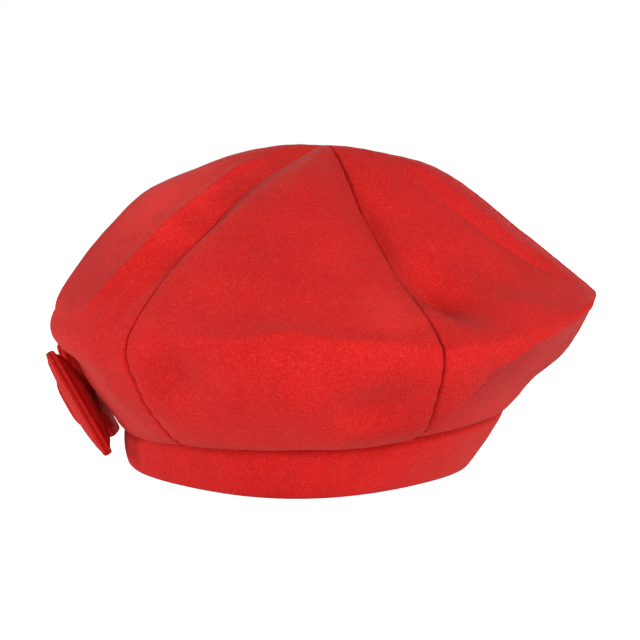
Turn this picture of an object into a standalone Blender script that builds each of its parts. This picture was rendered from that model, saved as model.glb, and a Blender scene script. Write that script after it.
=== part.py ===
"""A six-gore beret with a sewn band and a side bow, each sewn piece as its own closed solid.

The origin is on the surface that the beret stands on, under the middle of the whole beret. +Z is up,
the front is towards -Y and the bow is on the -X side. Azimuths are degrees from the front towards +X.
Lengths in the constants are millimetres; the meshes are in metres.
"""
import math

import bmesh
import bpy
from mathutils import Vector

MM = 0.001

# Cloth
CLOTH = 1.6  # outer cloth with its fused backing
LINING = 0.5
GAP = 0.3  # between layers that lie on each other
LINING_GAP = 0.4  # between the crown's cloth and its lining
SEAM_GAP = 0.35  # between neighbouring panels

# Crown: a loft through twelve sections, one every 30 degrees, on a seam and on a panel's middle in turn
CROWN_AXIS = Vector((3.2, 0.0, 0.0))
GORES = 6
FIRST_SEAM = -39.5
APEX_HEIGHT = 166.3
INNER_SHARES = (0.22, 0.45, 0.75)  # of the brim's radius, where the first three heights are taken
CROWN_SECTIONS = (
    # heights inside the brim, brim (radius, height), wall (radius, height), fold (radius, height), softness
    ((157.5, 144.5, 118.0), (142.5, 80.0), (136.5, 54.0), (119.5, 33.0), 0.7),
    ((159.5, 144.5, 111.0), (140.0, 80.5), (138.0, 55.0), (121.0, 32.5), 0.6),
    ((151.0, 129.0, 101.0), (143.0, 77.5), (137.0, 53.0), (124.0, 37.0), 0.4),
    ((156.5, 138.0, 105.5), (137.0, 83.0), (127.5, 63.0), (111.5, 46.0), 0.5),
    ((162.0, 151.5, 119.5), (139.8, 91.5), (125.5, 62.5), (107.8, 46.5), 0.1),
    ((160.0, 147.0, 116.0), (138.0, 86.0), (130.0, 63.0), (112.0, 44.0), 0.5),
    ((160.0, 147.0, 118.0), (142.0, 82.0), (136.0, 56.0), (118.0, 34.0), 0.5),
    ((161.0, 149.0, 119.0), (140.0, 79.0), (136.0, 53.0), (118.0, 32.0), 0.7),
    ((161.5, 150.0, 123.0), (142.0, 77.0), (137.0, 51.0), (118.0, 30.5), 0.8),
    ((164.0, 152.8, 128.3), (141.2, 85.5), (133.0, 56.0), (116.0, 31.0), 1.5),
    ((165.6, 155.8, 134.2), (140.2, 84.5), (127.5, 58.5), (114.0, 32.5), 1.7),
    ((164.9, 155.6, 131.2), (140.6, 82.0), (128.5, 57.0), (114.5, 33.0), 1.6),
)
BRIM = 4  # the brim's place in a section's points
STEP = 0.002  # share of the way down the crown, for reading its slope
GORE_COLUMNS = 8
GORE_ROWS = 16  # two for each leg of a section, so that the brim is on a row

# Band: a flared ring whose top is tilted, because the crown leans and slumps towards the bow
BAND_CENTRE_X = -11.3
BAND_RADIUS = 90.3
JOIN_CENTRE_X = -2.8
JOIN_RADIUS = 101.0
JOIN_HEIGHT = 27.3
JOIN_TILT = 6.0  # rise from the middle to the +X side
JOIN_SLOPE = 0.6  # how much of its last slope the crown keeps where it meets the band
JOIN_LIP = 4.6  # how far the crown's edge reaches in over the band's layers
BAND_CLOTH = 1.2
BAND_STIFFENER = 0.5
BAND_FACING = 0.8
BAND_COLUMNS = 72
STIFFENER_FOOT = 1.2
BAND_TOP_GAP = 0.5

# Size tab on the inside of the band, at the back
TAB_HALF_ANGLE = 7.0
TAB_FOOT = 5.0
TAB_TOP = 19.0
TAB_THICKNESS = 0.6

# Bow: two panels pinched by a knot, standing off the crown on a thread tack
KNOT_CENTRE = Vector((-128.3, -2.0, 33.2))
BOW_UP = Vector((-0.48, 0.0, 0.877)).normalized()
BOW_TURN = 6.5  # degrees that the far end swings away from the crown
BOW_HALF_LENGTH = 43.0
LOOP_HALF_HEIGHT = 30.0
PINCH_HALF_HEIGHT = 9.2
PINCH_FROM = 0.14
PINCH_TO = 0.7
LOOP_PUFFS = {1.0: 3.6, -1.0: 4.2}  # of the front and the back
LOOP_BEND = 4.0  # how far the loops' ends curve back towards the crown
PANEL_THICKNESS = 1.4
PANEL_BASE = 0.2
PANEL_PINCH_BASE = 1.4
BOW_COLUMNS = 20
BOW_ROWS = 6
KNOT_HALF_WIDTH = 7.5
KNOT_INNER = (12.0, 4.0)
KNOT_OUTER = (14.4, 6.9)
KNOT_BULGE = 0.9
KNOT_COLUMNS = 24
TACK_RADIUS = 2.0
TACK_LENGTH = 6.7


def clear_scene():
    for old in list(bpy.data.objects):
        bpy.data.objects.remove(old, do_unlink=True)


def material(name, colour, roughness):
    made = bpy.data.materials.new(name)
    made.use_nodes = True
    shader = made.node_tree.nodes["Principled BSDF"]
    shader.inputs["Base Color"].default_value = (*colour, 1.0)
    shader.inputs["Roughness"].default_value = roughness
    shader.inputs["Metallic"].default_value = 0.0
    return made


def smoothstep(low, high, value):
    share = min(1.0, max(0.0, (value - low) / (high - low)))
    return share * share * (3.0 - 2.0 * share)


def outward(azimuth):
    angle = math.radians(azimuth)
    return Vector((math.sin(angle), -math.cos(angle), 0.0))


# ---- the crown's surface ----


def catmull_rom(before, start, end, after, share):
    return 0.5 * (
        2 * start
        + (end - before) * share
        + (2 * before - 5 * start + 4 * end - after) * share**2
        + (3 * start - before - 3 * end + after) * share**3
    )


def hermite(start, leaving, end, arriving, share):
    return (
        start * (2 * share**3 - 3 * share**2 + 1)
        + leaving * (share**3 - 2 * share**2 + share)
        + end * (3 * share**2 - 2 * share**3)
        + arriving * (share**3 - share**2)
    )


def join_at(azimuth):
    """Radius from the crown's axis, and height, of the band's top edge in that direction."""
    offset = JOIN_CENTRE_X - CROWN_AXIS.x
    side = math.sin(math.radians(azimuth))
    radius = side * offset + math.sqrt((side * offset) ** 2 - offset**2 + JOIN_RADIUS**2)
    return radius, JOIN_HEIGHT + JOIN_TILT * (radius * side - offset) / JOIN_RADIUS


def section_points(section):
    """A section as (radius, height) points from the apex to the fold, with its softness."""
    heights, brim, wall, fold, softness = section
    inner = [(share * brim[0], height) for share, height in zip(INNER_SHARES, heights)]
    points = [Vector(point) for point in [(0.0, APEX_HEIGHT), *inner, brim, wall, fold]]
    return points, softness


def section_between(azimuth):
    """The section in any direction, blended from the four nearest, ending on the band's top edge."""
    place = ((azimuth - FIRST_SEAM) % 360.0) / 30.0
    first = int(place)
    share = place - first
    near = [section_points(CROWN_SECTIONS[(first + step) % 12]) for step in (-1, 0, 1, 2)]
    points = [catmull_rom(*same, share) for same in zip(*(points for points, _ in near))]
    softness = catmull_rom(*(soft for _, soft in near), share)
    radius, height = join_at(azimuth)
    points.append(Vector((radius + 1.0, height)))
    return points, softness


def on_crown(azimuth, radius, height):
    return CROWN_AXIS + outward(azimuth) * radius + Vector((0.0, 0.0, height))


def crown_surface(azimuth, along):
    """A point of the crown's outer surface, from the apex at 0 to the edge over the band at 1."""
    points, softness = section_between(azimuth)
    last = len(points) - 1
    place = along * (last + 1)
    if place >= last:
        radius, height = points[last]
        return on_crown(azimuth, radius - JOIN_LIP * (place - last), height)
    leg = int(place)
    start, end = points[leg], points[leg + 1]
    leaving = Vector((points[1].x, 0.0)) if leg == 0 else (end - points[leg - 1]) / 2
    closing = Vector((end.x - start.x, (end.y - start.y) * JOIN_SLOPE))
    arriving = (points[leg + 2] - start) / 2 if leg + 2 <= last else closing
    if leg == BRIM:
        leaving = (end - start).lerp(leaving, softness)
    if leg + 1 == BRIM:
        arriving = (end - start).lerp(arriving, softness)
    return on_crown(azimuth, *hermite(start, leaving, end, arriving, place - leg))


def crown_point(azimuth, along, depth):
    """A point of the crown at a depth below its outer surface, along the normal."""
    if along < STEP:
        return crown_surface(azimuth, 0.0) - Vector((0.0, 0.0, depth))
    turned = crown_surface(azimuth + 1.0, along) - crown_surface(azimuth - 1.0, along)
    down = crown_surface(azimuth, min(1.0, along + STEP)) - crown_surface(azimuth, along - STEP)
    return crown_surface(azimuth, along) - down.cross(turned).normalized() * depth


# ---- mesh helpers ----


def moved_grid(columns, rows, place):
    """A grid whose point at shares (across, along) goes to place(across, along), in millimetres."""
    grid = bmesh.new()
    bmesh.ops.create_grid(grid, x_segments=columns, y_segments=rows, size=0.5)
    for vertex in grid.verts:
        vertex.co = place(vertex.co.x + 0.5, vertex.co.y + 0.5) * MM
    bmesh.ops.remove_doubles(grid, verts=grid.verts, dist=0.00001)
    return grid


def add_object(name, grid, surface, collection, sharp_angle=40.0):
    mesh = bpy.data.meshes.new(name)
    grid.to_mesh(mesh)
    grid.free()
    mesh.shade_smooth()
    mesh.set_sharp_from_angle(angle=math.radians(sharp_angle))
    mesh.materials.append(surface)
    made = bpy.data.objects.new(name, mesh)
    collection.objects.link(made)
    return made


def closed_ring(columns, rows, place):
    """A ring whose section is also closed: place takes the shares round the ring and round its section."""
    ring = moved_grid(columns, rows, lambda across, along: place(across % 1.0, along % 1.0))
    bmesh.ops.recalc_face_normals(ring, faces=ring.faces)
    return ring


def shell(columns, rows, place, near, far):
    """A closed shell between two depths, where place(across, along, depth) is in millimetres."""
    sheet = bmesh.new()
    bmesh.ops.create_grid(sheet, x_segments=columns, y_segments=rows, size=0.5)
    extruded = bmesh.ops.extrude_face_region(sheet, geom=sheet.faces[:], use_keep_orig=True)["geom"]
    far_side = {made for made in extruded if isinstance(made, bmesh.types.BMVert)}
    for vertex in sheet.verts:
        depth = far if vertex in far_side else near
        vertex.co = place(vertex.co.x + 0.5, vertex.co.y + 0.5, depth) * MM
    bmesh.ops.remove_doubles(sheet, verts=sheet.verts, dist=0.00001)
    bmesh.ops.recalc_face_normals(sheet, faces=sheet.faces)
    return sheet


# ---- pieces ----


def crown_panel(index, near, far):
    """A shell the shape of one gore, moved out along its middle so that a seam gap opens on both sides."""
    start = FIRST_SEAM + index * 360.0 / GORES
    shift = outward(start + 180.0 / GORES) * SEAM_GAP

    def place(across, along, depth):
        return crown_point(start + across * 360.0 / GORES, along, depth) + shift

    return shell(GORE_COLUMNS, GORE_ROWS, place, near, far)


def band_point(angle, height_share, depth):
    """A point of the band: angle round it in degrees, from its foot at 0 to its top at 1, depth inwards."""
    direction = outward(angle)
    foot = Vector((BAND_CENTRE_X, 0.0, 0.0)) + direction * (BAND_RADIUS - depth)
    rise = JOIN_HEIGHT + JOIN_TILT * direction.x * (JOIN_RADIUS - depth) / JOIN_RADIUS - BAND_TOP_GAP
    top = Vector((JOIN_CENTRE_X, 0.0, rise)) + direction * (JOIN_RADIUS - depth)
    return foot.lerp(top, height_share)


def add_band_layer(name, outer_depth, thickness, foot, surface, collection):
    """A ring of the band between two depths, standing on z = foot."""
    corners = ((outer_depth, 0), (outer_depth, 1), (outer_depth + thickness, 1), (outer_depth + thickness, 0))

    def place(round_ring, round_section):
        depth, top = corners[round(round_section * 4) % 4]
        angle = round_ring * 360.0
        if top:
            return band_point(angle, 1.0, depth)
        rise = band_point(angle, 1.0, depth).z
        return band_point(angle, foot / rise, depth)

    add_object(name, closed_ring(BAND_COLUMNS, 4, place), surface, collection)


def add_size_tab(near, surface, collection):
    def place(across, along, depth):
        angle = 180.0 + (across - 0.5) * 2.0 * TAB_HALF_ANGLE
        rise = band_point(angle, 1.0, depth).z
        return band_point(angle, (TAB_FOOT + (TAB_TOP - TAB_FOOT) * along) / rise, depth)

    add_object("size_tab", shell(4, 2, place, near, near + TAB_THICKNESS), surface, collection)


def bow_axes():
    """The bow's length, height and outward directions."""
    away = Vector((0.0, 1.0, 0.0)).cross(BOW_UP)
    turn = math.radians(BOW_TURN)
    length = Vector((0.0, math.cos(turn), 0.0)) + away * -math.sin(turn)
    return length, BOW_UP, length.cross(BOW_UP) * -1.0


def add_bow_panel(name, side, surface, collection):
    """One layer of the bow. side is 1 for the front, away from the crown, and -1 for the back."""
    length, up, out = bow_axes()

    def place(across, along, depth):
        run, rise = across * 2.0 - 1.0, along * 2.0 - 1.0
        opened = smoothstep(PINCH_FROM, PINCH_TO, abs(run))
        half_height = PINCH_HALF_HEIGHT + (LOOP_HALF_HEIGHT - PINCH_HALF_HEIGHT) * opened
        base = PANEL_PINCH_BASE + (PANEL_BASE - PANEL_PINCH_BASE) * opened
        puff = LOOP_PUFFS[side] * opened * (1.0 - run**4) * (1.0 - rise**2)
        deep = side * (base + puff + depth) - LOOP_BEND * run**2
        return length * (BOW_HALF_LENGTH * run) + up * (half_height * rise) + out * deep

    panel = shell(BOW_COLUMNS, BOW_ROWS, place, 0.0, PANEL_THICKNESS)
    return add_object(name, panel, surface, collection)


def add_bow_knot(surface, collection):
    length, up, out = bow_axes()
    profile = (
        (-1.0, KNOT_OUTER, 0.0),
        (-0.5, KNOT_OUTER, KNOT_BULGE),
        (0.5, KNOT_OUTER, KNOT_BULGE),
        (1.0, KNOT_OUTER, 0.0),
        (0.9, KNOT_INNER, 0.0),
        (-0.9, KNOT_INNER, 0.0),
    )

    def place(round_ring, round_section):
        run, halves, bulge = profile[round(round_section * len(profile)) % len(profile)]
        angle = round_ring * 2.0 * math.pi
        across = math.copysign(abs(math.cos(angle)) ** 0.6, math.cos(angle)) * (halves[0] + bulge)
        deep = math.copysign(abs(math.sin(angle)) ** 0.6, math.sin(angle)) * (halves[1] + bulge)
        return length * (KNOT_HALF_WIDTH * run) + up * across + out * deep

    return add_object("bow_knot", closed_ring(KNOT_COLUMNS, len(profile), place), surface, collection, 50.0)


def add_bow_tack(surface, collection):
    """A short thread shank between the knot's back and the crown."""
    out = bow_axes()[2]
    shank = bmesh.new()
    bmesh.ops.create_cone(
        shank,
        cap_ends=True,
        segments=16,
        radius1=TACK_RADIUS * MM,
        radius2=TACK_RADIUS * MM,
        depth=TACK_LENGTH * MM,
    )
    tack = add_object("bow_tack", shank, surface, collection)
    reach = KNOT_OUTER[1] + KNOT_BULGE + GAP + TACK_LENGTH / 2
    tack.rotation_mode = "QUATERNION"
    tack.rotation_quaternion = out.to_track_quat("Z", "Y")
    tack.location = (KNOT_CENTRE - out * reach) * MM
    return tack


def main():
    clear_scene()
    beret = bpy.data.collections.new("beret")
    bpy.context.scene.collection.children.link(beret)

    cloth = material("red_napped_cloth", (0.60, 0.022, 0.020), 0.95)
    lining = material("red_lining", (0.42, 0.02, 0.025), 0.45)
    stiffener = material("white_interlining", (0.80, 0.79, 0.75), 0.9)
    tab = material("white_tape", (0.85, 0.84, 0.80), 0.7)
    thread = material("red_thread", (0.50, 0.02, 0.02), 0.6)

    under = CLOTH + LINING_GAP
    for index in range(GORES):
        name = f"_{index + 1}"
        add_object("crown_gore" + name, crown_panel(index, 0.0, CLOTH), cloth, beret)
        add_object("crown_lining" + name, crown_panel(index, under, under + LINING), lining, beret)

    stiffener_depth = BAND_CLOTH + GAP
    facing_depth = stiffener_depth + BAND_STIFFENER + GAP
    add_band_layer("band_outer", 0.0, BAND_CLOTH, 0.0, cloth, beret)
    add_band_layer("band_stiffener", stiffener_depth, BAND_STIFFENER, STIFFENER_FOOT, stiffener, beret)
    add_band_layer("band_facing", facing_depth, BAND_FACING, 0.0, cloth, beret)
    add_size_tab(facing_depth + BAND_FACING + GAP, tab, beret)

    pivot = bpy.data.objects.new("bow_pivot", None)
    pivot.location = KNOT_CENTRE * MM
    beret.objects.link(pivot)
    for piece in (
        add_bow_panel("bow_front_panel", 1.0, cloth, beret),
        add_bow_panel("bow_back_panel", -1.0, cloth, beret),
        add_bow_knot(cloth, beret),
    ):
        piece.parent = pivot
    add_bow_tack(thread, beret)


main()
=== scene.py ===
"""The looks of the red gored beret: cloth gores with rolled seams and soft folds, its band, lining and bow.

Lengths in the constants are millimetres and meshes are in metres, in the row frame: +Z is up, the front
is towards -Y and the bow is on the -X side. Azimuths are degrees from the front towards +X.
"""

import math

import bmesh
import bpy
import numpy as np
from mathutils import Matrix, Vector, noise


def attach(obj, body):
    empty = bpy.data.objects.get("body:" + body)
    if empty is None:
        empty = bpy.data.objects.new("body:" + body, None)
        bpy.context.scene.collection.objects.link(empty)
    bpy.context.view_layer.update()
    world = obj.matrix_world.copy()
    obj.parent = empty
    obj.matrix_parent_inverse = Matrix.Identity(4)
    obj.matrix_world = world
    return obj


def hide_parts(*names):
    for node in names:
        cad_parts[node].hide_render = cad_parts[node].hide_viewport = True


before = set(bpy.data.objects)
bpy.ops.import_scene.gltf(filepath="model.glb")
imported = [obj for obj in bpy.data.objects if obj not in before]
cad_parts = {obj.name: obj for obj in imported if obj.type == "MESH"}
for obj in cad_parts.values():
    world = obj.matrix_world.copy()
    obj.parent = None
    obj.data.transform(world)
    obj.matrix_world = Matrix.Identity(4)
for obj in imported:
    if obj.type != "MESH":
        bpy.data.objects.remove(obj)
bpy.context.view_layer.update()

MM = 0.001
MERGE_DISTANCE = 1e-6  # metres

# ---- sizes shared with the CAD ----

CLOTH = 1.6
CROWN_AXIS_X = 3.2
GORES = 6
GORE_TURN = 360.0 / GORES
FIRST_SEAM = -39.5
APEX_HEIGHT = 166.3
INNER_SHARES = (0.22, 0.45, 0.75)
CROWN_SECTIONS = (
    # heights inside the brim, brim (radius, height), wall (radius, height), fold (radius, height), softness
    ((157.5, 144.5, 118.0), (142.5, 80.0), (136.5, 54.0), (119.5, 33.0), 0.7),
    ((159.5, 144.5, 111.0), (140.0, 80.5), (138.0, 55.0), (121.0, 32.5), 0.6),
    ((151.0, 129.0, 101.0), (143.0, 77.5), (137.0, 53.0), (124.0, 37.0), 0.4),
    ((156.5, 138.0, 105.5), (137.0, 83.0), (127.5, 63.0), (111.5, 46.0), 0.5),
    ((162.0, 151.5, 119.5), (139.8, 91.5), (125.5, 62.5), (107.8, 46.5), 0.1),
    ((160.0, 147.0, 116.0), (138.0, 86.0), (130.0, 63.0), (112.0, 44.0), 0.5),
    ((160.0, 147.0, 118.0), (142.0, 82.0), (136.0, 56.0), (118.0, 34.0), 0.5),
    ((161.0, 149.0, 119.0), (140.0, 79.0), (136.0, 53.0), (118.0, 32.0), 0.7),
    ((161.5, 150.0, 123.0), (142.0, 77.0), (137.0, 51.0), (118.0, 30.5), 0.8),
    ((164.0, 152.8, 128.3), (141.2, 85.5), (133.0, 56.0), (116.0, 31.0), 1.5),
    ((165.6, 155.8, 134.2), (140.2, 84.5), (127.5, 58.5), (114.0, 32.5), 1.7),
    ((164.9, 155.6, 131.2), (140.6, 82.0), (128.5, 57.0), (114.5, 33.0), 1.6),
)
SECTION_TURN = 360.0 / len(CROWN_SECTIONS)
VISUAL_SOFTNESS = np.array([0.25, 0.3, 0.4, 0.2, 0.05, 0.1, 0.3, 0.2, 0.1, 0.0, 0.0, 0.0])
BRIM = 4
LEGS = 8
STEP = 0.002
BAND_CENTRE_X = -11.3
BAND_RADIUS = 90.3
JOIN_CENTRE_X = -2.8
JOIN_RADIUS = 101.0
JOIN_HEIGHT = 27.3
JOIN_TILT = 6.0
JOIN_SLOPE = 0.6
JOIN_LIP = 4.6
JOIN_OVERHANG = 1.0  # how far the crown stands out over the band's top edge
BAND_TOP_GAP = 0.12  # less than in the CAD, so that no light shows over the band
BAND_CLOTH = 1.2
FACING_DEPTH = 2.3
BAND_FACING = 0.8
KNOT_CENTRE = np.array([-128.3, -2.0, 33.2])
BOW_UP = np.array([-0.48, 0.0, 0.877]) / math.hypot(0.48, 0.877)
BOW_TURN = 6.5
BOW_HALF_LENGTH = 43.0
LOOP_HALF_HEIGHT = 30.0
PINCH_HALF_HEIGHT = 9.2
PINCH_FROM = 0.14
PINCH_TO = 0.7
LOOP_PUFFS = {1.0: 2.4, -1.0: 4.2}
LOOP_BEND = 4.0
PANEL_THICKNESS = 1.4
LOOP_THICKENING = 0.9  # the doubled cloth is fuller in the loops than under the knot
NEAR_LOOP_SWELL = 2.2  # the back of the front loop swells more than the others
PANEL_BASE = 0.2
PANEL_PINCH_BASE = 1.4
KNOT_HALF_WIDTH = 7.5
KNOT_OUTER = (14.4, 6.9)
KNOT_WALL = 2.4
TACK_RADIUS = 2.0
TACK_LENGTH = 5.0
TACK_REACH = 10.6  # from the knot's centre back to the tack's middle

# ---- looks of the crown ----

GORE_COLUMNS = 96
GORE_ROWS_PER_LEG = (16, 15, 22, 24, 20, 18, 16, 7)
LINING_COLUMNS = 30
EDGE_BUNCHING = 0.86  # how strongly a gore's columns crowd towards its seams
VISUAL_GAP = 0.16
SEAM_ROLL = 1.25  # radius of a gore's turned edge
SEAM_GROOVE = 1.0
SEAM_GROOVE_WIDTH = 0.75
SEAM_DIP = 0.7
SEAM_DIP_WIDTH = 5.625
SEAM_END = 0.985
APEX_FADE = 16.0
APEX_SOFTENING = 60.0
LINING_DEPTH = 3.4  # down from the gores' outer side
LINING_CLOTH = 0.5
LINING_BUNCHING = 0.4
LINING_SINK = 1.3  # the lining sinks this much more than the gore above it
LINING_SINK_WIDENING = {"after": 1.3, "before": 5.0}
RELIEF_END = 0.875  # along the crown, where it is sewn to the band
SMOOTH_NOISE = ((0.022, 1.0, 3.0), (0.055, 0.42, 11.0), (0.13, 0.14, 23.0))  # per mm, mm, offset


def smoothstep(low, high, value):
    """0 up to low, 1 from high on, and a soft step between them."""
    share = np.clip((value - low) / (high - low), 0.0, 1.0)
    return share * share * (3.0 - 2.0 * share)


def signed(angle):
    """The same angle in degrees, from -180 to 180."""
    return (angle + 180.0) % 360.0 - 180.0


def bell(distance, width):
    """1 at no distance, falling off to both sides."""
    return np.exp(-((distance / width) ** 2))


def unit(vectors):
    return vectors / np.maximum(np.linalg.norm(vectors, axis=-1, keepdims=True), 1e-9)


def noise_at(points, scale, offset):
    """Smooth noise at points, about -1 to 1."""
    flat = points.reshape(-1, 3) * scale + offset
    return np.array([noise.noise(Vector(point)) for point in flat]).reshape(points.shape[:-1])


# ---- the crown's surface, as in the CAD ----


def section_table():
    """The sections' points as (radius, height) from the apex to the fold, and their softness."""
    rows = []
    for heights, brim, wall, fold, _ in CROWN_SECTIONS:
        inner = [(share * brim[0], height) for share, height in zip(INNER_SHARES, heights)]
        rows.append([(0.0, APEX_HEIGHT), *inner, brim, wall, fold])
    return np.array(rows), np.array([row[4] for row in CROWN_SECTIONS])


SECTIONS, SOFTNESS = section_table()
SOFTNESS = SOFTNESS + VISUAL_SOFTNESS


def catmull_rom(before, start, end, after, share):
    """A cubic from start to end that also heeds the values before and after them."""
    return 0.5 * (
        2 * start
        + (end - before) * share
        + (2 * before - 5 * start + 4 * end - after) * share**2
        + (3 * start - before - 3 * end + after) * share**3
    )


def hermite(start, leaving, end, arriving, share):
    """A cubic from start to end, with its tangents at both."""
    return (
        start * (2 * share**3 - 3 * share**2 + 1)
        + leaving * (share**3 - 2 * share**2 + share)
        + end * (3 * share**2 - 2 * share**3)
        + arriving * (share**3 - share**2)
    )


def outward(azimuth):
    """The level direction away from the axis."""
    angle = np.radians(azimuth)
    return np.stack([np.sin(angle), -np.cos(angle), np.zeros_like(angle)], -1)


def crown_surface(azimuth, along):
    """Points of the crown's outer surface, from the apex at 0 to the edge over the band at 1."""
    azimuth, along = np.broadcast_arrays(np.asarray(azimuth, float), np.asarray(along, float))
    shape = azimuth.shape
    azimuth, along = azimuth.ravel(), along.ravel()
    place = ((azimuth - FIRST_SEAM) % 360.0) / SECTION_TURN
    first = np.floor(place).astype(int)
    share = place - first
    near = [(first + step) % len(CROWN_SECTIONS) for step in (-1, 0, 1, 2)]
    points = catmull_rom(*(SECTIONS[each] for each in near), share[:, None, None])
    softness = catmull_rom(*(SOFTNESS[each] for each in near), share)[:, None]

    side = np.sin(np.radians(azimuth))
    offset = JOIN_CENTRE_X - CROWN_AXIS_X
    join = side * offset + np.sqrt((side * offset) ** 2 - offset**2 + JOIN_RADIUS**2)
    top = JOIN_HEIGHT + JOIN_TILT * (join * side - offset) / JOIN_RADIUS
    points = np.concatenate([points, np.stack([join + JOIN_OVERHANG, top], -1)[:, None]], 1)

    last = points.shape[1] - 1
    run = along * (last + 1)
    leg = np.minimum(run.astype(int), last - 1)
    each = np.arange(len(leg))
    here = leg[:, None]
    start, end = points[each, leg], points[each, leg + 1]
    flat = np.stack([points[:, 1, 0], np.zeros(len(leg))], -1)
    closing = (end - start) * (1.0, JOIN_SLOPE)
    leaving = np.where(here == 0, flat, (end - points[each, np.maximum(leg - 1, 0)]) / 2)
    arriving = np.where(here + 2 <= last, (points[each, np.minimum(leg + 2, last)] - start) / 2, closing)
    straight = (end - start) * (1 - softness)
    leaving = np.where(here == BRIM, straight + leaving * softness, leaving)
    arriving = np.where(here + 1 == BRIM, straight + arriving * softness, arriving)
    shape_2d = hermite(start, leaving, end, arriving, np.minimum(run - leg, 1.0)[:, None])
    lip = run > last
    shape_2d[lip, 0] = points[lip, last, 0] - JOIN_LIP * (run[lip] - last)
    shape_2d[lip, 1] = points[lip, last, 1]

    made = outward(azimuth) * shape_2d[:, :1]
    made[:, 0] += CROWN_AXIS_X
    made[:, 2] = shape_2d[:, 1]
    return made.reshape(*shape, 3)


def crown_normals(azimuth, along):
    """Directions square to the crown's surface, pointing out."""
    turned = crown_surface(azimuth + 1.0, along) - crown_surface(azimuth - 1.0, along)
    down = crown_surface(azimuth, np.minimum(along + STEP, 1.0)) - crown_surface(
        azimuth, np.maximum(along - STEP, 0.0)
    )
    normals = unit(np.cross(down, turned))
    normals[along < STEP] = (0.0, 0.0, 1.0)
    return normals


# ---- folds and hollows of the crown ----

# (azimuth, along, half width round, half length down, turn in degrees, height)
HOLLOWS = (
    (30.0, 0.372, 12.0, 23.0, -6.0, -13.0),  # the hollow of the right front gore
    (40.0, 0.330, 15.0, 28.0, -10.0, -2.0),
    (47.0, 0.450, 18.0, 14.0, 0.0, 2.4),
    (54.0, 0.350, 12.0, 26.0, 0.0, 1.6),
    (-18.0, 0.440, 42.0, 12.0, 0.0, -1.6),  # the dip above the front brim
    (12.0, 0.440, 16.0, 10.0, 0.0, 0.8),
    (-29.0, 0.590, 15.0, 18.0, 10.0, -7.5),  # soft dents of the front wall
    (-21.5, 0.560, 5.0, 16.0, 0.0, -1.2),
    (-8.0, 0.600, 13.0, 17.0, 0.0, 4.2),
    (9.0, 0.645, 18.0, 12.0, -10.0, -5.6),
    (8.0, 0.835, 24.0, 7.0, 0.0, 1.5),  # the wall hangs over the band
    (-33.0, 0.270, 9.0, 26.0, 10.0, 1.8),
    (-16.0, 0.330, 12.0, 20.0, 20.0, -1.4),
    (4.0, 0.290, 15.0, 22.0, 0.0, 1.0),
    (-41.0, 0.360, 7.0, 44.0, 0.0, -5.0),  # beside the left crease
    (-78.0, 0.420, 26.0, 22.0, 20.0, -1.6),
    (-80.0, 0.665, 26.0, 20.0, 0.0, 3.6),
    (-48.0, 0.620, 9.0, 24.0, 0.0, 1.6),
    (118.0, 0.430, 16.0, 26.0, 14.0, -5.0),  # the same slump behind the tip
    (128.0, 0.640, 22.0, 18.0, 0.0, -2.4),
    (160.0, 0.400, 24.0, 26.0, -12.0, -3.0),
    (176.0, 0.600, 22.0, 22.0, 0.0, -2.8),
    (204.0, 0.455, 34.0, 10.0, 0.0, -2.4),
    (222.0, 0.620, 18.0, 24.0, 20.0, -3.0),
    (244.0, 0.330, 20.0, 30.0, 0.0, -2.4),
)

# (points as (azimuth, along), height, width on the clockwise side, width on the other side)
CREASES = (
    (
        ((-56.0, 0.11), (-52.5, 0.217), (-48.5, 0.307), (-48.5, 0.393), (-51.5, 0.455), (-59.0, 0.50)),
        3.8, 2.6, 8.0,
    ),
    (((66.0, 0.14), (59.0, 0.263), (61.0, 0.31), (64.0, 0.36), (66.0, 0.40), (72.0, 0.47)), -1.5, 2.0, 3.0),
    (((74.0, 0.14), (67.0, 0.263), (69.0, 0.36), (74.0, 0.44)), 1.6, 7.0, 4.5),
    (
        (
            (-42.0, 0.495), (-26.5, 0.493), (-17.5, 0.498), (-8.0, 0.485),
            (2.0, 0.493), (10.0, 0.490), (23.0, 0.489),
        ),
        2.3, 5.0, 4.5,
    ),
    (
        ((78.0, 0.496), (66.0, 0.499), (54.5, 0.505), (44.0, 0.520), (36.0, 0.548), (30.0, 0.60)),
        2.2, 5.0, 3.0,
    ),
    (((92.0, 0.18), (98.0, 0.29), (97.0, 0.40), (90.0, 0.47)), -2.0, 3.2, 4.2),
    (
        ((140.0, 0.50), (152.0, 0.505), (166.0, 0.493), (180.0, 0.50), (197.0, 0.492), (214.0, 0.498)),
        1.8, 5.0, 6.0,
    ),
    (((228.0, 0.20), (234.0, 0.31), (230.0, 0.42), (220.0, 0.50)), 2.2, 3.4, 7.0),
)
CREASE_POINTS = 60
CREASE_FADE = 0.22  # share of a crease's length over which each of its ends fades

# the right front wall breaks along a line from the band up to the tip: azimuths and the line's place
BREAK_AZIMUTHS = (20.5, 23.0, 25.0, 27.5, 32.0, 41.0, 54.5, 74.0, 80.5)
BREAK_ALONG = (0.80, 0.735, 0.688, 0.633, 0.568, 0.530, 0.512, 0.503, 0.500)
BREAK_DEPTH = (0.0, 3.5, 7.0, 9.5, 10.5, 7.5, 3.2, 0.2, 0.0)
BREAK_EARLINESS = 0.72  # below 1 the wall is pressed in most just under the line
BREAK_REAR_AZIMUTHS = (80.5, 92.0, 106.0, 120.0, 134.0, 146.0)
BREAK_REAR_ALONG = (0.500, 0.505, 0.520, 0.550, 0.620, 0.720)
BREAK_REAR_DEPTH = (0.0, 3.0, 6.0, 7.5, 4.5, 0.0)


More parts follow.
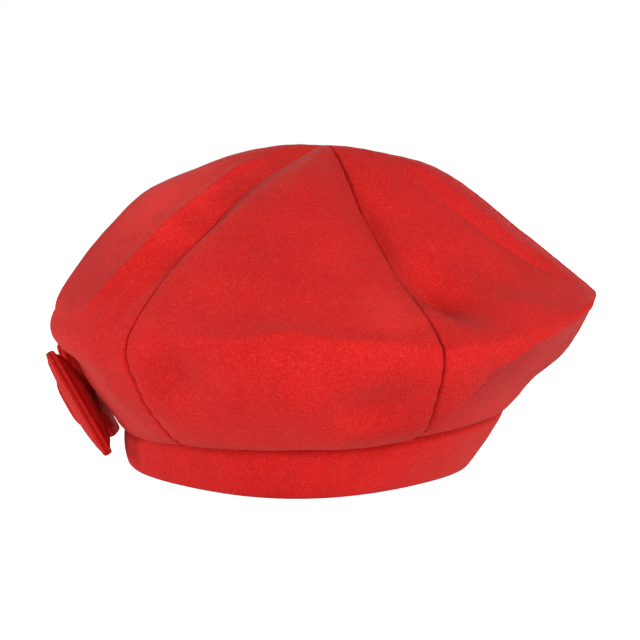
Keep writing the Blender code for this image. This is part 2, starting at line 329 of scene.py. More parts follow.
def hollow_height(points, hollow):
    """Height of a hollow or swelling: a bell in the surface's own directions."""
    azimuth, along, wide, long, turn, height = hollow
    middle = crown_surface(azimuth, along)
    round_way = unit(crown_surface(azimuth + 1.0, along) - crown_surface(azimuth - 1.0, along))
    down_way = unit(crown_surface(azimuth, along + STEP) - crown_surface(azimuth, along - STEP))
    cosine, sine = math.cos(math.radians(turn)), math.sin(math.radians(turn))
    offset = points - middle
    across = offset @ (round_way * cosine + down_way * sine)
    down = offset @ (down_way * cosine - round_way * sine)
    beside = offset @ np.cross(down_way, round_way)
    return height * bell(across, wide) * bell(down, long) * bell(beside, wide + long)


def crease_height(points, normals, crease):
    """Height of a crease: a crest along its route that falls off at each side."""
    route, height, wide, wide_back = crease
    route = np.array(route)
    fine = np.linspace(0, len(route) - 1, CREASE_POINTS)
    azimuths = np.interp(fine, range(len(route)), route[:, 0])
    alongs = np.interp(fine, range(len(route)), route[:, 1])
    line = crown_surface(azimuths, alongs)
    best = np.full(points.shape[:-1], 1e9)
    side = np.zeros(points.shape[:-1])
    place = np.zeros(points.shape[:-1])
    for index, (start, end) in enumerate(zip(line, line[1:])):
        way = end - start
        share = np.clip(((points - start) @ way) / (way @ way), 0.0, 1.0)
        offset = points - (start + share[..., None] * way)
        distance = np.linalg.norm(offset, axis=-1)
        nearer = distance < best
        best = np.where(nearer, distance, best)
        side = np.where(nearer, np.einsum("...i,...i", np.cross(way, offset), normals), side)
        place = np.where(nearer, (index + share) / (len(line) - 1), place)
    width = np.where(side > 0, wide, wide_back)
    fade = smoothstep(0.0, CREASE_FADE, place) * smoothstep(0.0, CREASE_FADE, 1.0 - place)
    return height * fade * np.exp(-np.sqrt((best / width) ** 2 + 0.04) + 0.2)


def break_height(azimuth, along):
    """How far the wall is pressed in below the lines that break it beside the tip."""
    turned = signed(azimuth)
    total = 0.0
    for azimuths, alongs, depths in (
        (BREAK_AZIMUTHS, BREAK_ALONG, BREAK_DEPTH),
        (BREAK_REAR_AZIMUTHS, BREAK_REAR_ALONG, BREAK_REAR_DEPTH),
    ):
        line = np.interp(turned, azimuths, alongs)
        depth = np.interp(turned, azimuths, depths, left=0.0, right=0.0)
        below = np.clip((along - line) / (RELIEF_END - line), 0.0, 1.0)
        total = total - depth * np.sin(math.pi * below**BREAK_EARLINESS)
    return total


def relief(azimuth, along, points, normals):
    """How far the folds raise or sink the crown's surface."""
    height = break_height(azimuth, along)
    for hollow in HOLLOWS:
        height = height + hollow_height(points, hollow)
    for crease in CREASES:
        height = height + crease_height(points, normals, crease)
    for scale, amount, offset in SMOOTH_NOISE:
        height = height + amount * noise_at(points, scale, offset)
    return height * smoothstep(0.0, 0.10, along) * smoothstep(0.0, 0.06, RELIEF_END - along)


# ---- seams of the crown ----

# where a gore sinks under its neighbour: (seam, side) -> (along from, along to, extra dip, its width)
DEEP_SEAMS = {
    (1, "before"): ((0.13, 0.34, 5.4, 2.8),),
    (1, "after"): ((0.13, 0.35, 6.2, 14.0), (0.36, 0.52, 1.6, 10.0), (0.52, 0.86, 1.5, 5.0)),
    (0, "before"): ((0.26, 0.52, 1.6, 11.0),),
    (0, "after"): ((0.30, 0.60, 0.5, 6.0),),
}
PUCKER_HEIGHT = 0.32
PUCKER_LENGTH = 9.0
PUCKER_REACH = 7.0
PUCKER_DRIFT = 17.0  # the puckers' spacing varies over this length
PUCKER_ABOVE_BRIM = 0.35  # their share of the full height above the brim


def deep_dip(seam, side, distance, along):
    """The extra drop where one gore sinks under its neighbour."""
    total = np.zeros_like(distance)
    for start, end, depth, width in DEEP_SEAMS.get((seam, side), ()):
        shape = bell(along - (start + end) / 2, (end - start) / 2.4)
        total = total + depth * shape * np.exp(-((distance / width) ** 1.4))
    return total


def seam_dip(seam, side, distance, along, down):
    """How far a gore's surface drops at a distance from one of its seams."""
    tucked = np.clip(distance / SEAM_ROLL, 0.0, 1.0)
    dip = SEAM_ROLL * (1.0 - np.sqrt(1.0 - (1.0 - tucked) ** 2))
    dip = dip + SEAM_DIP * np.exp(-distance / SEAM_DIP_WIDTH) * smoothstep(0.0, APEX_SOFTENING, down)
    dip = dip + SEAM_GROOVE * bell(distance, SEAM_GROOVE_WIDTH) + deep_dip(seam, side, distance, along)
    drift = 1.7 * seam + 1.1 * np.sin(down / PUCKER_DRIFT + seam)
    wave = np.sin(down / PUCKER_LENGTH * 2.0 * math.pi + drift)
    strong = PUCKER_ABOVE_BRIM + (1.0 - PUCKER_ABOVE_BRIM) * smoothstep(0.50, 0.60, along)
    return dip + PUCKER_HEIGHT * strong * wave * np.exp(-distance / PUCKER_REACH)


def arc_lengths(points, axis):
    """Lengths along the rows or columns of a grid of points, from its first to each."""
    steps = np.linalg.norm(np.diff(points, axis=axis), axis=-1)
    zero = np.zeros_like(np.take(steps, [0], axis=axis))
    return np.concatenate([zero, np.cumsum(steps, axis=axis)], axis=axis)


def leg_rows(rows_per_leg):
    """Places down the crown, with a number of rows for each of its legs."""
    parts = [np.arange(rows) / rows + leg for leg, rows in enumerate(rows_per_leg)]
    return np.append(np.concatenate(parts), LEGS) / LEGS


def bunched(columns, amount):
    """Places from 0 to 1 that crowd towards both ends."""
    even = np.linspace(0.0, 1.0, columns + 1)
    return (1.0 - amount) * even + amount * 0.5 * (1.0 - np.cos(math.pi * even))


def crown_panel(index, columns, rows_per_leg, depth, seamed):
    """The outer points, the normals and the lengths round and down of one gore's grid."""
    start = FIRST_SEAM + index * GORE_TURN
    across = bunched(columns, EDGE_BUNCHING if seamed else LINING_BUNCHING)
    along, azimuth = np.meshgrid(leg_rows(rows_per_leg), start + across * GORE_TURN, indexing="ij")
    points = crown_surface(azimuth, along)
    normals = crown_normals(azimuth, along)
    round_way = arc_lengths(points, 1)
    down_way = arc_lengths(points, 0)
    height = relief(azimuth, along, points, normals)
    left, right = round_way, round_way[:, -1:] - round_way
    after = (index + 1) % GORES
    if not seamed:
        for seam, side, distance in ((index, "after", left), (after, "before", right)):
            distance = distance / LINING_SINK_WIDENING[side]
            height = height - LINING_SINK * deep_dip(seam, side, distance, along)
    else:
        fade = smoothstep(0.0, APEX_FADE, down_way)
        dip = seam_dip(index, "after", left, along, down_way)
        dip = dip + seam_dip(after, "before", right, along, down_way)
        height = height - dip * fade * smoothstep(0.0, 0.02, SEAM_END - along)
    moved = points + normals * (height - depth)[..., None]
    moved += outward(np.array(start + GORE_TURN / 2)) * VISUAL_GAP
    return moved, normals, round_way - round_way[:, -1:] / 2, down_way


# ---- meshes ----


def add_piece(name, vertices, faces, material, body, node, uvs=None):
    """A piece from points in millimetres, standing for one CAD node."""
    mesh = bpy.data.meshes.new(name)
    mesh.from_pydata([tuple(point) for point in vertices * MM], [], faces)
    if uvs is not None:
        layer = mesh.uv_layers.new(name="UVMap")
        corners = np.zeros(len(mesh.loops), int)
        mesh.loops.foreach_get("vertex_index", corners)
        layer.data.foreach_set("uv", uvs[corners].ravel())
    work = bmesh.new()
    work.from_mesh(mesh)
    bmesh.ops.remove_doubles(work, verts=work.verts, dist=MERGE_DISTANCE)
    bmesh.ops.dissolve_degenerate(work, edges=work.edges, dist=MERGE_DISTANCE / 10)
    bmesh.ops.recalc_face_normals(work, faces=work.faces)
    work.to_mesh(mesh)
    work.free()
    mesh.shade_smooth()
    mesh.materials.append(material)
    piece = bpy.data.objects.new(name, mesh)
    bpy.context.scene.collection.objects.link(piece)
    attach(piece, body)
    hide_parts(node)
    return piece


def shell_mesh(front, back):
    """Vertices and faces of a closed shell between two grids of points."""
    rows, columns = front.shape[:2]
    vertices = np.concatenate([front.reshape(-1, 3), back.reshape(-1, 3)])
    number = np.arange(rows * columns).reshape(rows, columns)
    under = number + rows * columns
    top = np.stack([number[:-1, :-1], number[:-1, 1:], number[1:, 1:], number[1:, :-1]], -1).reshape(-1, 4)
    bottom = np.stack([under[:-1, :-1], under[1:, :-1], under[1:, 1:], under[:-1, 1:]], -1).reshape(-1, 4)
    rim = np.concatenate([number[0, :-1], number[:-1, -1], number[-1, :0:-1], number[:0:-1, 0]])
    after = np.roll(rim, -1)
    sides = np.stack([rim, rim + rows * columns, after + rows * columns, after], -1)
    return vertices, np.concatenate([top, bottom, sides]).tolist()


def ring_mesh(points):
    """Vertices and faces of a grid that closes both ways."""
    rows, columns = points.shape[:2]
    number = np.arange(rows * columns).reshape(rows, columns)
    below, beside = np.roll(number, -1, 0), np.roll(number, -1, 1)
    faces = np.stack([number, beside, np.roll(below, -1, 1), below], -1).reshape(-1, 4)
    return points.reshape(-1, 3), faces.tolist()


def doubled(grid):
    """The same texture places for both sides of a shell."""
    return np.concatenate([grid.reshape(-1, 2), grid.reshape(-1, 2)])


# ---- materials ----


class Nodes:
    """Short calls for building a material."""

    def __init__(self, name):
        self.material = bpy.data.materials.new(name)
        self.material.use_nodes = True
        self.tree = self.material.node_tree
        self.shader = self.tree.nodes["Principled BSDF"]
        self.space = self.add("ShaderNodeTexCoord").outputs["Object"]
        self.cut = self.add("ShaderNodeTexCoord").outputs["UV"]

    def add(self, kind, inputs=(), **settings):
        node = self.tree.nodes.new(kind)
        for key, value in settings.items():
            setattr(node, key, value)
        for key, value in dict(inputs).items():
            if isinstance(value, bpy.types.NodeSocket):
                self.tree.links.new(value, node.inputs[key])
            else:
                node.inputs[key].default_value = value
        return node

    def noise(self, scale, detail=2.0, roughness=0.5, vector=None):
        inputs = {"Vector": vector or self.space, "Scale": scale, "Detail": detail, "Roughness": roughness}
        return self.add("ShaderNodeTexNoise", inputs).outputs["Fac"]

    def spread(self, value, low, high, source=(0.3, 0.7)):
        """Maps a value from the source range to the range from low to high."""
        start, end = source
        inputs = {"Value": value, "From Min": start, "From Max": end, "To Min": low, "To Max": high}
        return self.add("ShaderNodeMapRange", inputs).outputs["Result"]

    def distance_from(self, point):
        inputs = {0: self.space, 1: point}
        return self.add("ShaderNodeVectorMath", inputs, operation="DISTANCE").outputs["Value"]

    def math(self, operation, first, second=0.0):
        return self.add("ShaderNodeMath", {0: first, 1: second}, operation=operation).outputs["Value"]

    def stretched(self, vector, scale):
        return self.add("ShaderNodeMapping", {"Vector": vector, "Scale": scale}).outputs["Vector"]

    def mix(self, share, first, second):
        inputs = {"Factor": share, "A": first, "B": second}
        node = self.tree.nodes.new("ShaderNodeMix")
        node.data_type = "RGBA"
        for key, value in inputs.items():
            socket = next(each for each in node.inputs if each.name == key and each.enabled)
            if isinstance(value, bpy.types.NodeSocket):
                self.tree.links.new(value, socket)
            else:
                socket.default_value = value
        return next(each for each in node.outputs if each.enabled)

    def bump(self, height, strength, distance, normal=None):
        inputs = {"Height": height, "Strength": strength, "Distance": distance}
        if normal:
            inputs["Normal"] = normal
        return self.add("ShaderNodeBump", inputs).outputs["Normal"]

    def set(self, **inputs):
        for key, value in inputs.items():
            socket = self.shader.inputs[key.replace("_", " ")]
            if isinstance(value, bpy.types.NodeSocket):
                self.tree.links.new(value, socket)
            else:
                socket.default_value = value
        return self.material


# Painted shade and painted light in the cloth's colour: shade beside the left crease, beside the sunken seam,
# in the right hollow, on the front wall, under the right side and on the wall behind the bow; light on the
# upper left gore and above the front brim.
# (azimuth, along, reach in mm, share of the painted shade, or of the painted light where it is negative)
PAINTED_SHADE_AND_LIGHT_PATCHES = (
    (-42.0, 0.265, 13.0, 0.75),
    (-42.5, 0.325, 12.0, 0.75),
    (-40.5, 0.385, 12.0, 0.60),
    (23.5, 0.310, 10.0, 0.60),
    (27.0, 0.385, 16.0, 0.70),
    (15.0, 0.700, 25.0, 0.80),
    (-28.0, 0.545, 15.0, 0.35),
    (41.0, 0.690, 20.0, 0.90),
    (66.0, 0.590, 17.0, 0.65),
    (-50.0, 0.640, 18.0, 0.60),
    (-66.0, 0.340, 32.0, -0.65),
    (13.0, 0.430, 18.0, -0.45),
)


def painted_shade_and_light(made, base, deep, pale):
    """Patches with ragged edges of painted shade and painted light, mixed into the cloth's colour."""
    ragged = made.spread(made.noise(85.0, 4.0, 0.65), -0.4, 0.4)
    for azimuth, along, reach, share in PAINTED_SHADE_AND_LIGHT_PATCHES:
        distance = made.distance_from(tuple(crown_surface(azimuth, along) * MM))
        far = made.math("ADD", made.math("MULTIPLY", distance, 1.0 / (reach * MM)), ragged)
        base = made.mix(made.spread(far, abs(share), 0.0, (0.3, 1.3)), base, deep if share > 0 else pale)
    return base


def napped_cloth():
    """Brushed cloth: soft clouds where the nap lies differently, short fibres, a faint twill below, and
    patches of painted shade and painted light on the crown.
    """
    made = Nodes("red_napped_cloth")
    deep, full, pale = (0.47, 0.006, 0.006, 1.0), (0.62, 0.013, 0.011, 1.0), (0.86, 0.075, 0.062, 1.0)
    clouds = made.noise(26.0, 3.0, 0.55)
    brushed = made.noise(150.0, 3.0, 0.6, made.stretched(made.space, (1.0, 1.0, 0.55)))
    fibres = made.noise(1050.0, 3.0, 0.7)
    lint = made.noise(640.0, 2.0, 0.6)
    base = made.mix(made.spread(clouds, 0.0, 0.7), deep, full)
    base = made.mix(made.spread(brushed, 0.0, 0.5, (0.25, 0.75)), base, full)
    # painted shade and painted light in patches over the crown
    base = painted_shade_and_light(made, base, (0.45, 0.007, 0.006, 1.0), (0.80, 0.028, 0.024, 1.0))
    base = made.mix(made.spread(fibres, 0.0, 0.7, (0.46, 0.25)), base, deep)
    base = made.mix(made.spread(fibres, 0.0, 0.42, (0.50, 0.78)), base, pale)
    base = made.mix(made.spread(lint, 0.0, 0.16, (0.55, 0.80)), base, pale)
    twill = made.add(
        "ShaderNodeTexWave",
        {"Vector": made.cut, "Scale": 240.0, "Distortion": 1.2, "Detail": 2.0, "Detail Scale": 1.5},
        bands_direction="DIAGONAL",
    ).outputs["Fac"]
    normal = made.bump(brushed, 0.25, 0.0012)
    normal = made.bump(twill, 0.10, 0.00012, normal)
    normal = made.bump(fibres, 0.6, 0.0007, normal)
    return made.set(
        Base_Color=base,
        Roughness=made.spread(brushed, 0.80, 0.96),
        Normal=normal,
        Specular_IOR_Level=0.12,
        Sheen_Weight=0.12,
        Sheen_Roughness=0.5,
        Sheen_Tint=(1.0, 0.45, 0.40, 1.0),
    )


def satin_lining():
    """Fine satin threads that run down the panels."""
    made = Nodes("red_satin_lining")
    threads = made.noise(1.0, 2.0, 0.6, made.stretched(made.cut, (3200.0, 260.0, 1.0)))
    slubs = made.noise(60.0, 3.0, 0.5)
    base = made.mix(made.spread(threads, 0.0, 1.0), (0.30, 0.010, 0.014, 1.0), (0.46, 0.020, 0.026, 1.0))
    base = made.mix(made.spread(slubs, 0.0, 0.4), base, (0.40, 0.016, 0.020, 1.0))
    return made.set(
        Base_Color=base,
        Roughness=made.spread(threads, 0.30, 0.46),
        Normal=made.bump(threads, 0.3, 0.00015),
        Sheen_Weight=0.15,
        Anisotropic=0.4,
    )


def interlining():
    """A white felted web with fusing dots."""
    made = Nodes("white_interlining")
    web = made.noise(900.0, 4.0, 0.7)
    dots = made.add("ShaderNodeTexVoronoi", {"Vector": made.space, "Scale": 420.0}).outputs["Distance"]
    base = made.mix(made.spread(web, 0.0, 1.0), (0.70, 0.69, 0.65, 1.0), (0.86, 0.85, 0.82, 1.0))
    base = made.mix(made.spread(dots, 0.35, 0.0, (0.0, 0.3)), base, (0.90, 0.90, 0.88, 1.0))
    normal = made.bump(web, 0.5, 0.0002)
    return made.set(Base_Color=base, Roughness=made.spread(web, 0.8, 0.95), Normal=normal)


def woven_tape():
    """A plain weave with no writing on it."""
    made = Nodes("white_woven_tape")
    warp_at = {"Vector": made.cut, "Scale": 520.0, "Distortion": 0.6}
    weft_at = {"Vector": made.cut, "Scale": 380.0, "Distortion": 0.6}
    warp = made.add("ShaderNodeTexWave", warp_at).outputs["Fac"]
    weft = made.add("ShaderNodeTexWave", weft_at, bands_direction="Y").outputs["Fac"]
    weave = made.math("MULTIPLY", warp, weft)
    shade = made.spread(weave, 0.0, 1.0, (0.0, 1.0))
    base = made.mix(shade, (0.72, 0.71, 0.66, 1.0), (0.88, 0.87, 0.84, 1.0))
    normal = made.bump(weave, 0.5, 0.0002)
    return made.set(Base_Color=base, Roughness=made.spread(weave, 0.55, 0.75), Normal=normal)


def sewing_thread():
    """Twisted red thread."""
    made = Nodes("red_sewing_thread")
    twist = made.noise(2600.0, 3.0, 0.6)
    base = made.mix(made.spread(twist, 0.0, 1.0), (0.38, 0.010, 0.010, 1.0), (0.60, 0.030, 0.026, 1.0))
    normal = made.bump(twist, 0.4, 0.0002)
    return made.set(Base_Color=base, Roughness=made.spread(twist, 0.5, 0.7), Normal=normal)


def floor_material():
    """A plain pale floor, which looks paler to the camera than the light it sheds."""
    made = Nodes("pale_floor")
    grain = made.noise(3.0, 3.0, 0.5)
    seen = made.add("ShaderNodeLightPath").outputs["Is Camera Ray"]
    base = made.mix(made.spread(grain, 0.0, 1.0), (0.86, 0.86, 0.86, 1.0), (0.88, 0.88, 0.88, 1.0))
    return made.set(
        Base_Color=base,
        Roughness=made.spread(grain, 0.75, 0.82),
        Emission_Color=(1.0, 1.0, 1.0, 1.0),
        Emission_Strength=made.spread(seen, FLOOR_GLOW, FLOOR_SEEN, (0.0, 1.0)),
    )


# ---- crown pieces ----


def add_crown(cloth, lining):
    """The six gores and the lining panels under them."""
    for index in range(GORES):
        outer, normals, round_way, down_way = crown_panel(
            index, GORE_COLUMNS, GORE_ROWS_PER_LEG, 0.0, True
        )
        inner, _, _, _ = crown_panel(index, GORE_COLUMNS, GORE_ROWS_PER_LEG, CLOTH, True)
        vertices, faces = shell_mesh(outer, inner)
        uvs = doubled(np.stack([round_way, down_way], -1) * MM)
        node = f"crown_gore_{index + 1}"
        gore = add_piece(f"gore_{index + 1}", vertices, faces, cloth, "hat", node, uvs)

        rows = tuple(max(3, rows // 3) for rows in GORE_ROWS_PER_LEG)
        near, _, round_way, down_way = crown_panel(index, LINING_COLUMNS, rows, LINING_DEPTH, False)
        far, _, _, _ = crown_panel(index, LINING_COLUMNS, rows, LINING_DEPTH + LINING_CLOTH, False)
        vertices, faces = shell_mesh(near, far)
        uvs = doubled(np.stack([round_way, down_way], -1) * MM)
        node = f"crown_lining_{index + 1}"
        panel = add_piece(f"lining_{index + 1}", vertices, faces, lining, "hat", node, uvs)


# ---- band ----

BAND_AROUND = 360
BAND_HEIGHTS = np.concatenate(
    [[0.0, 0.01, 0.025, 0.05, 0.08, 0.12], np.linspace(0.17, 0.94, 14), [0.97, 0.99, 1.0]]
)
BAND_EDGE_ROUND = 0.8
BAND_FOOT_ROLL = 3.2
BAND_FOOT_TUCK = 1.7
BAND_SEAM_AT = 180.0
BAND_SEAM = ((0.9, 0.9), (0.35, 6.0))  # depths and widths of the joining seam
BAND_RIPPLES = ((0.03, 1.1, 40.0), (0.09, 0.35, 60.0))  # per mm, mm, offset
BAND_TUCK = 2.8  # how far the top goes in under the crown
BAND_TUCK_FROM = 0.86
BAND_LIFT = 1.7  # how far the foot rises between the front, the back and the sides


def band_point(angle, height_share, depth):
    """Points of the band: angle round it, from its foot at 0 to its top at 1, depth inwards."""
    direction = outward(angle)
    foot = direction * (BAND_RADIUS - depth)[..., None]
    foot[..., 0] += BAND_CENTRE_X
    top = direction * (JOIN_RADIUS - depth)[..., None]
    lean = JOIN_TILT * direction[..., 0] * (JOIN_RADIUS - depth) / JOIN_RADIUS
    top[..., 2] = JOIN_HEIGHT + lean - BAND_TOP_GAP
    top[..., 0] += JOIN_CENTRE_X
    return foot + (top - foot) * height_share[..., None]


def add_band_ring(name, depth, thickness, foot, foot_roll, material, node, bulge):
    """One layer of the band, with the points of its outer side."""
    angles = np.arange(BAND_AROUND) * 360.0 / BAND_AROUND
    heights = foot / JOIN_HEIGHT + (1.0 - foot / JOIN_HEIGHT) * BAND_HEIGHTS
    share = np.concatenate([heights[::-1], heights])
    deep = np.concatenate([np.zeros(len(heights)), np.full(len(heights), thickness)])
    angle, share_grid = np.meshgrid(angles, share, indexing="ij")
    deep_grid = np.broadcast_to(deep, angle.shape)

    rise = JOIN_HEIGHT * share_grid
    tuck = np.clip(1.0 - rise / BAND_FOOT_ROLL, 0.0, 1.0)
    rolled = foot_roll * (1.0 - np.sqrt(1.0 - tuck**2))
    middle = thickness / 2
    from_edge = np.clip(1.0 - rise / BAND_EDGE_ROUND, 0.0, 1.0)
    pinched = middle + (deep_grid - middle) * np.sqrt(1.0 - from_edge**2)
    points = band_point(angle, share_grid, pinched + depth + rolled)

    soft = np.sin(math.pi * share_grid)
    ripple = sum(amount * noise_at(points, scale, offset) for scale, amount, offset in BAND_RIPPLES)
    from_seam = np.abs(signed(angle - BAND_SEAM_AT)) * math.radians(1.0) * BAND_RADIUS
    seam = sum(sunk * np.exp(-from_seam / width) for sunk, width in BAND_SEAM)
    out = soft * bulge + ripple * np.sqrt(np.maximum(soft, 0.0)) - seam
    out = out - BAND_TUCK * smoothstep(BAND_TUCK_FROM, 1.0, share_grid)
    points = points + outward(angle) * out[..., None]
    lift = BAND_LIFT * np.sin(np.radians(np.clip(np.abs(signed(angle)), 0.0, 90.0) * 2.0)) ** 2
    points[..., 2] += lift * (1.0 - share_grid) ** 1.5

    vertices, faces = ring_mesh(points)
    piece = add_piece(name, vertices, faces, material, "hat", node, band_uvs(angle, share_grid))
    return piece, points[:, : len(heights)]


def band_uvs(angle, share):
    """Texture places round and up the band, in metres."""
    return np.stack([np.radians(angle) * BAND_RADIUS, share * JOIN_HEIGHT], -1).reshape(-1, 2) * MM


def add_band(cloth, stiffener):
    """The band's outer cloth, its stiffener and its facing."""
    for name, depth, thickness, foot, foot_roll, material, node, slot, bulge in (
        ("band", 0.0, BAND_CLOTH, 0.0, BAND_FOOT_TUCK, cloth, "band_outer", "napped_cloth", 0.9),
        ("stiffener", 1.5, 0.5, 1.6, 0.9, stiffener, "band_stiffener", "interlining", 0.7),
        ("facing", FACING_DEPTH, BAND_FACING, 0.0, -0.1, cloth, "band_facing", "napped_cloth", 0.5),
    ):
        ring, points = add_band_ring(name, depth, thickness, foot, foot_roll, material, node, bulge)


# ---- size tab ----

TAB_GRID = (17, 25)
TAB_HALF_ANGLE = 7.0
TAB_HALF_WIDTH = 10.5
TAB_HEIGHTS = (5.0, 19.0)
TAB_DEPTH = 3.55
TAB_CLOTH = 0.6
TAB_CURL = 0.25


def add_size_tab(tape):
    """A blank woven tab, laid on the facing at the back."""
    rows, columns = TAB_GRID
    along, across = np.meshgrid(np.linspace(0, 1, rows), np.linspace(-1, 1, columns), indexing="ij")
    angle = 180.0 + across * TAB_HALF_ANGLE
    height = TAB_HEIGHTS[0] + (TAB_HEIGHTS[1] - TAB_HEIGHTS[0]) * along
    curl = TAB_CURL * (1.0 - np.abs(across) ** 6) * np.sin(math.pi * along)
    curl = curl + 0.12 * noise_at(np.stack([angle, height, along], -1), 0.35, 5.0)
    edge = np.sqrt(np.clip(1.0 - np.maximum(np.abs(across), np.abs(2 * along - 1)) ** 14, 0.0, 1.0))
    near = band_point(angle, height / JOIN_HEIGHT, TAB_DEPTH + TAB_CLOTH / 2 * (1 - edge) + curl)
    far = band_point(angle, height / JOIN_HEIGHT, TAB_DEPTH + TAB_CLOTH / 2 * (1 + edge) + curl)
    vertices, faces = shell_mesh(far, near)
    uvs = doubled(np.stack([across * TAB_HALF_WIDTH, height], -1) * MM)
    tab = add_piece("size_tape", vertices, faces, tape, "hat", "size_tab", uvs)


# ---- bow ----

BOW_GRID = (97, 65)
BOW_BUNCHING = 0.75
CORNER_ROUND = 5.0
PLEATS = 2.5
PLEAT_HEIGHT = 1.5
PLEATS_AT = (0.20, 0.26)  # where along a loop they are highest, and how far they reach
BOW_EDGE_ROLL = 1.2
BOW_PUFF_FULL = 5.5  # from the edge, where a loop is fully puffed
BOW_BASE_FULL = 4.5
BOW_SOFTNESS = 1.1
BOW_CENTRE_FADE = 0.10
EDGE_GAP = 0.01  # between the two layers where they meet
KNOT_GRID = (120, 56)
KNOT_CROWN = 0.9
KNOT_PLEAT = 0.55
KNOT_ROUND = 11.0
THREAD = (0.35, 0.24)  # half its width and half its height
THREAD_GRID = (160, 10)
THREAD_TURNS = 5
CORE_RADIUS = 1.4
CORE_SIDES = 24


def bow_axes():
    """The bow's directions: along its loops, up its face and out of its front."""
    away = np.cross((0.0, 1.0, 0.0), BOW_UP)
    turn = math.radians(BOW_TURN)
    length = np.array([0.0, math.cos(turn), 0.0]) - away * math.sin(turn)
    return length, BOW_UP, -np.cross(length, BOW_UP)


def rounded_square(run, rise, corner_run, corner_rise):
    """Moves the points of a square so that its corners are rounded."""
    s = np.clip((np.abs(run) - 1.0 + corner_run) / corner_run, 0.0, 1.0)
    t = np.clip((np.abs(rise) - 1.0 + corner_rise) / corner_rise, 0.0, 1.0)
    run = run - np.sign(run) * corner_run * s * (1.0 - np.sqrt(1.0 - t**2 / 2))
    rise = rise - np.sign(rise) * corner_rise * t * (1.0 - np.sqrt(1.0 - s**2 / 2))
    return run, rise


def panel_puff(side, run, rise, opened, half_height):
    """How far a layer stands out: the swell of the loops, and the pleats beside the knot."""
    full = opened * (1.0 - run**4)
    swell = LOOP_PUFFS[side] + np.where((side < 0) & (run < 0), NEAR_LOOP_SWELL, 0.0)
    highest, reach = PLEATS_AT
    spread = bell(np.abs(run) - highest, reach) * smoothstep(BOW_CENTRE_FADE, 0.22, np.abs(run))
    fold = np.cos(math.pi * PLEATS * rise + 0.4 * np.sign(run)) * (1.0 - rise**4)
    places = np.stack([run * BOW_HALF_LENGTH, rise * half_height, 0 * run], -1)
    soft = BOW_SOFTNESS * noise_at(places, 0.06, 9.0 + side) * (1.0 - rise**4)
    return full * (swell * (1.0 - np.abs(rise) ** 3) + soft) + PLEAT_HEIGHT * spread * fold


def add_bow_panel(name, side, cloth, node):
    """The front layer of the bow where side is 1, the back layer where it is -1."""
    length, up, out = bow_axes()
    even_run, even_rise = (bunched(count - 1, BOW_BUNCHING) * 2 - 1 for count in BOW_GRID)
    run, rise = np.meshgrid(even_run, even_rise, indexing="ij")
    to_end, to_side = 1 - np.abs(run), 1 - np.abs(rise)
    run, rise = rounded_square(run, rise, CORNER_ROUND / BOW_HALF_LENGTH, CORNER_ROUND / LOOP_HALF_HEIGHT)
    opened = smoothstep(PINCH_FROM, PINCH_TO, np.abs(run))
    half_height = PINCH_HALF_HEIGHT + (LOOP_HALF_HEIGHT - PINCH_HALF_HEIGHT) * opened
    from_edge = np.minimum(to_end * BOW_HALF_LENGTH, to_side * half_height)

    puff = panel_puff(side, run, rise, opened, half_height)
    puff = puff * smoothstep(BOW_EDGE_ROLL, BOW_PUFF_FULL, from_edge)
    base = PANEL_PINCH_BASE + (PANEL_BASE - PANEL_PINCH_BASE) * opened
    base = base * smoothstep(BOW_EDGE_ROLL, BOW_BASE_FULL, from_edge) + EDGE_GAP
    bend = LOOP_BEND * run**2

    end_roll = np.clip(to_end * BOW_HALF_LENGTH / BOW_EDGE_ROLL, 0.0, 1.0)
    side_roll = np.clip(to_side * half_height / BOW_EDGE_ROLL, 0.0, 1.0)
    at_end = np.sqrt(1.0 - (1.0 - end_roll) ** 2)
    at_side = np.sqrt(1.0 - (1.0 - side_roll) ** 2)
    thickness = PANEL_THICKNESS + LOOP_THICKENING * opened
    near = thickness / 2 * (1.0 - at_end) * at_side
    far = near + thickness * at_end * at_side

    flat = KNOT_CENTRE + length * (BOW_HALF_LENGTH * run)[..., None] + up * (half_height * rise)[..., None]
    front = flat + out * (side * (base + puff + far) - bend)[..., None]
    back = flat + out * (side * (base + puff + near) - bend)[..., None]
    vertices, faces = shell_mesh(front, back)
    uvs = doubled(np.stack([BOW_HALF_LENGTH * run, half_height * rise], -1) * MM)
    panel = add_piece(name, vertices, faces, cloth, "bow", node, uvs)


def squared(wave, power):
    """A sine or cosine drawn towards its limits, so that a circle becomes a rounded square."""
    return np.sign(wave) * np.abs(wave) ** power


def add_bow_knot(cloth):
    """A pleated strip that goes once round the middle of the bow."""
    length, up, out = bow_axes()
    angle, turn = np.meshgrid(*(np.arange(count) * 2 * math.pi / count for count in KNOT_GRID), indexing="ij")
    run = squared(np.cos(turn), 0.45) * KNOT_HALF_WIDTH
    thick = squared(np.sin(turn), 0.6)
    pleat = KNOT_PLEAT * np.cos(run / KNOT_HALF_WIDTH * 2.5 * math.pi + 0.5 * np.sin(angle * 2)) * (thick > 0)
    crown = KNOT_CROWN * (1.0 - (run / KNOT_HALF_WIDTH) ** 2) + pleat
    stand = crown * np.clip(thick, 0, 1) - KNOT_WALL / 2 * (1.0 - thick)
    across = squared(np.cos(angle), 0.6) * (KNOT_OUTER[0] + stand)
    forward = squared(np.sin(angle), 0.6) * (KNOT_OUTER[1] + stand)
    run = run * (1.0 + 0.05 * np.sin(angle * 3 + 1.0))
    points = KNOT_CENTRE + length * run[..., None] + up * across[..., None] + out * forward[..., None]
    vertices, faces = ring_mesh(points)
    uvs = np.stack([angle * KNOT_ROUND, run], -1).reshape(-1, 2) * MM
    knot = add_piece("knot", vertices, faces, cloth, "bow", "bow_knot", uvs)


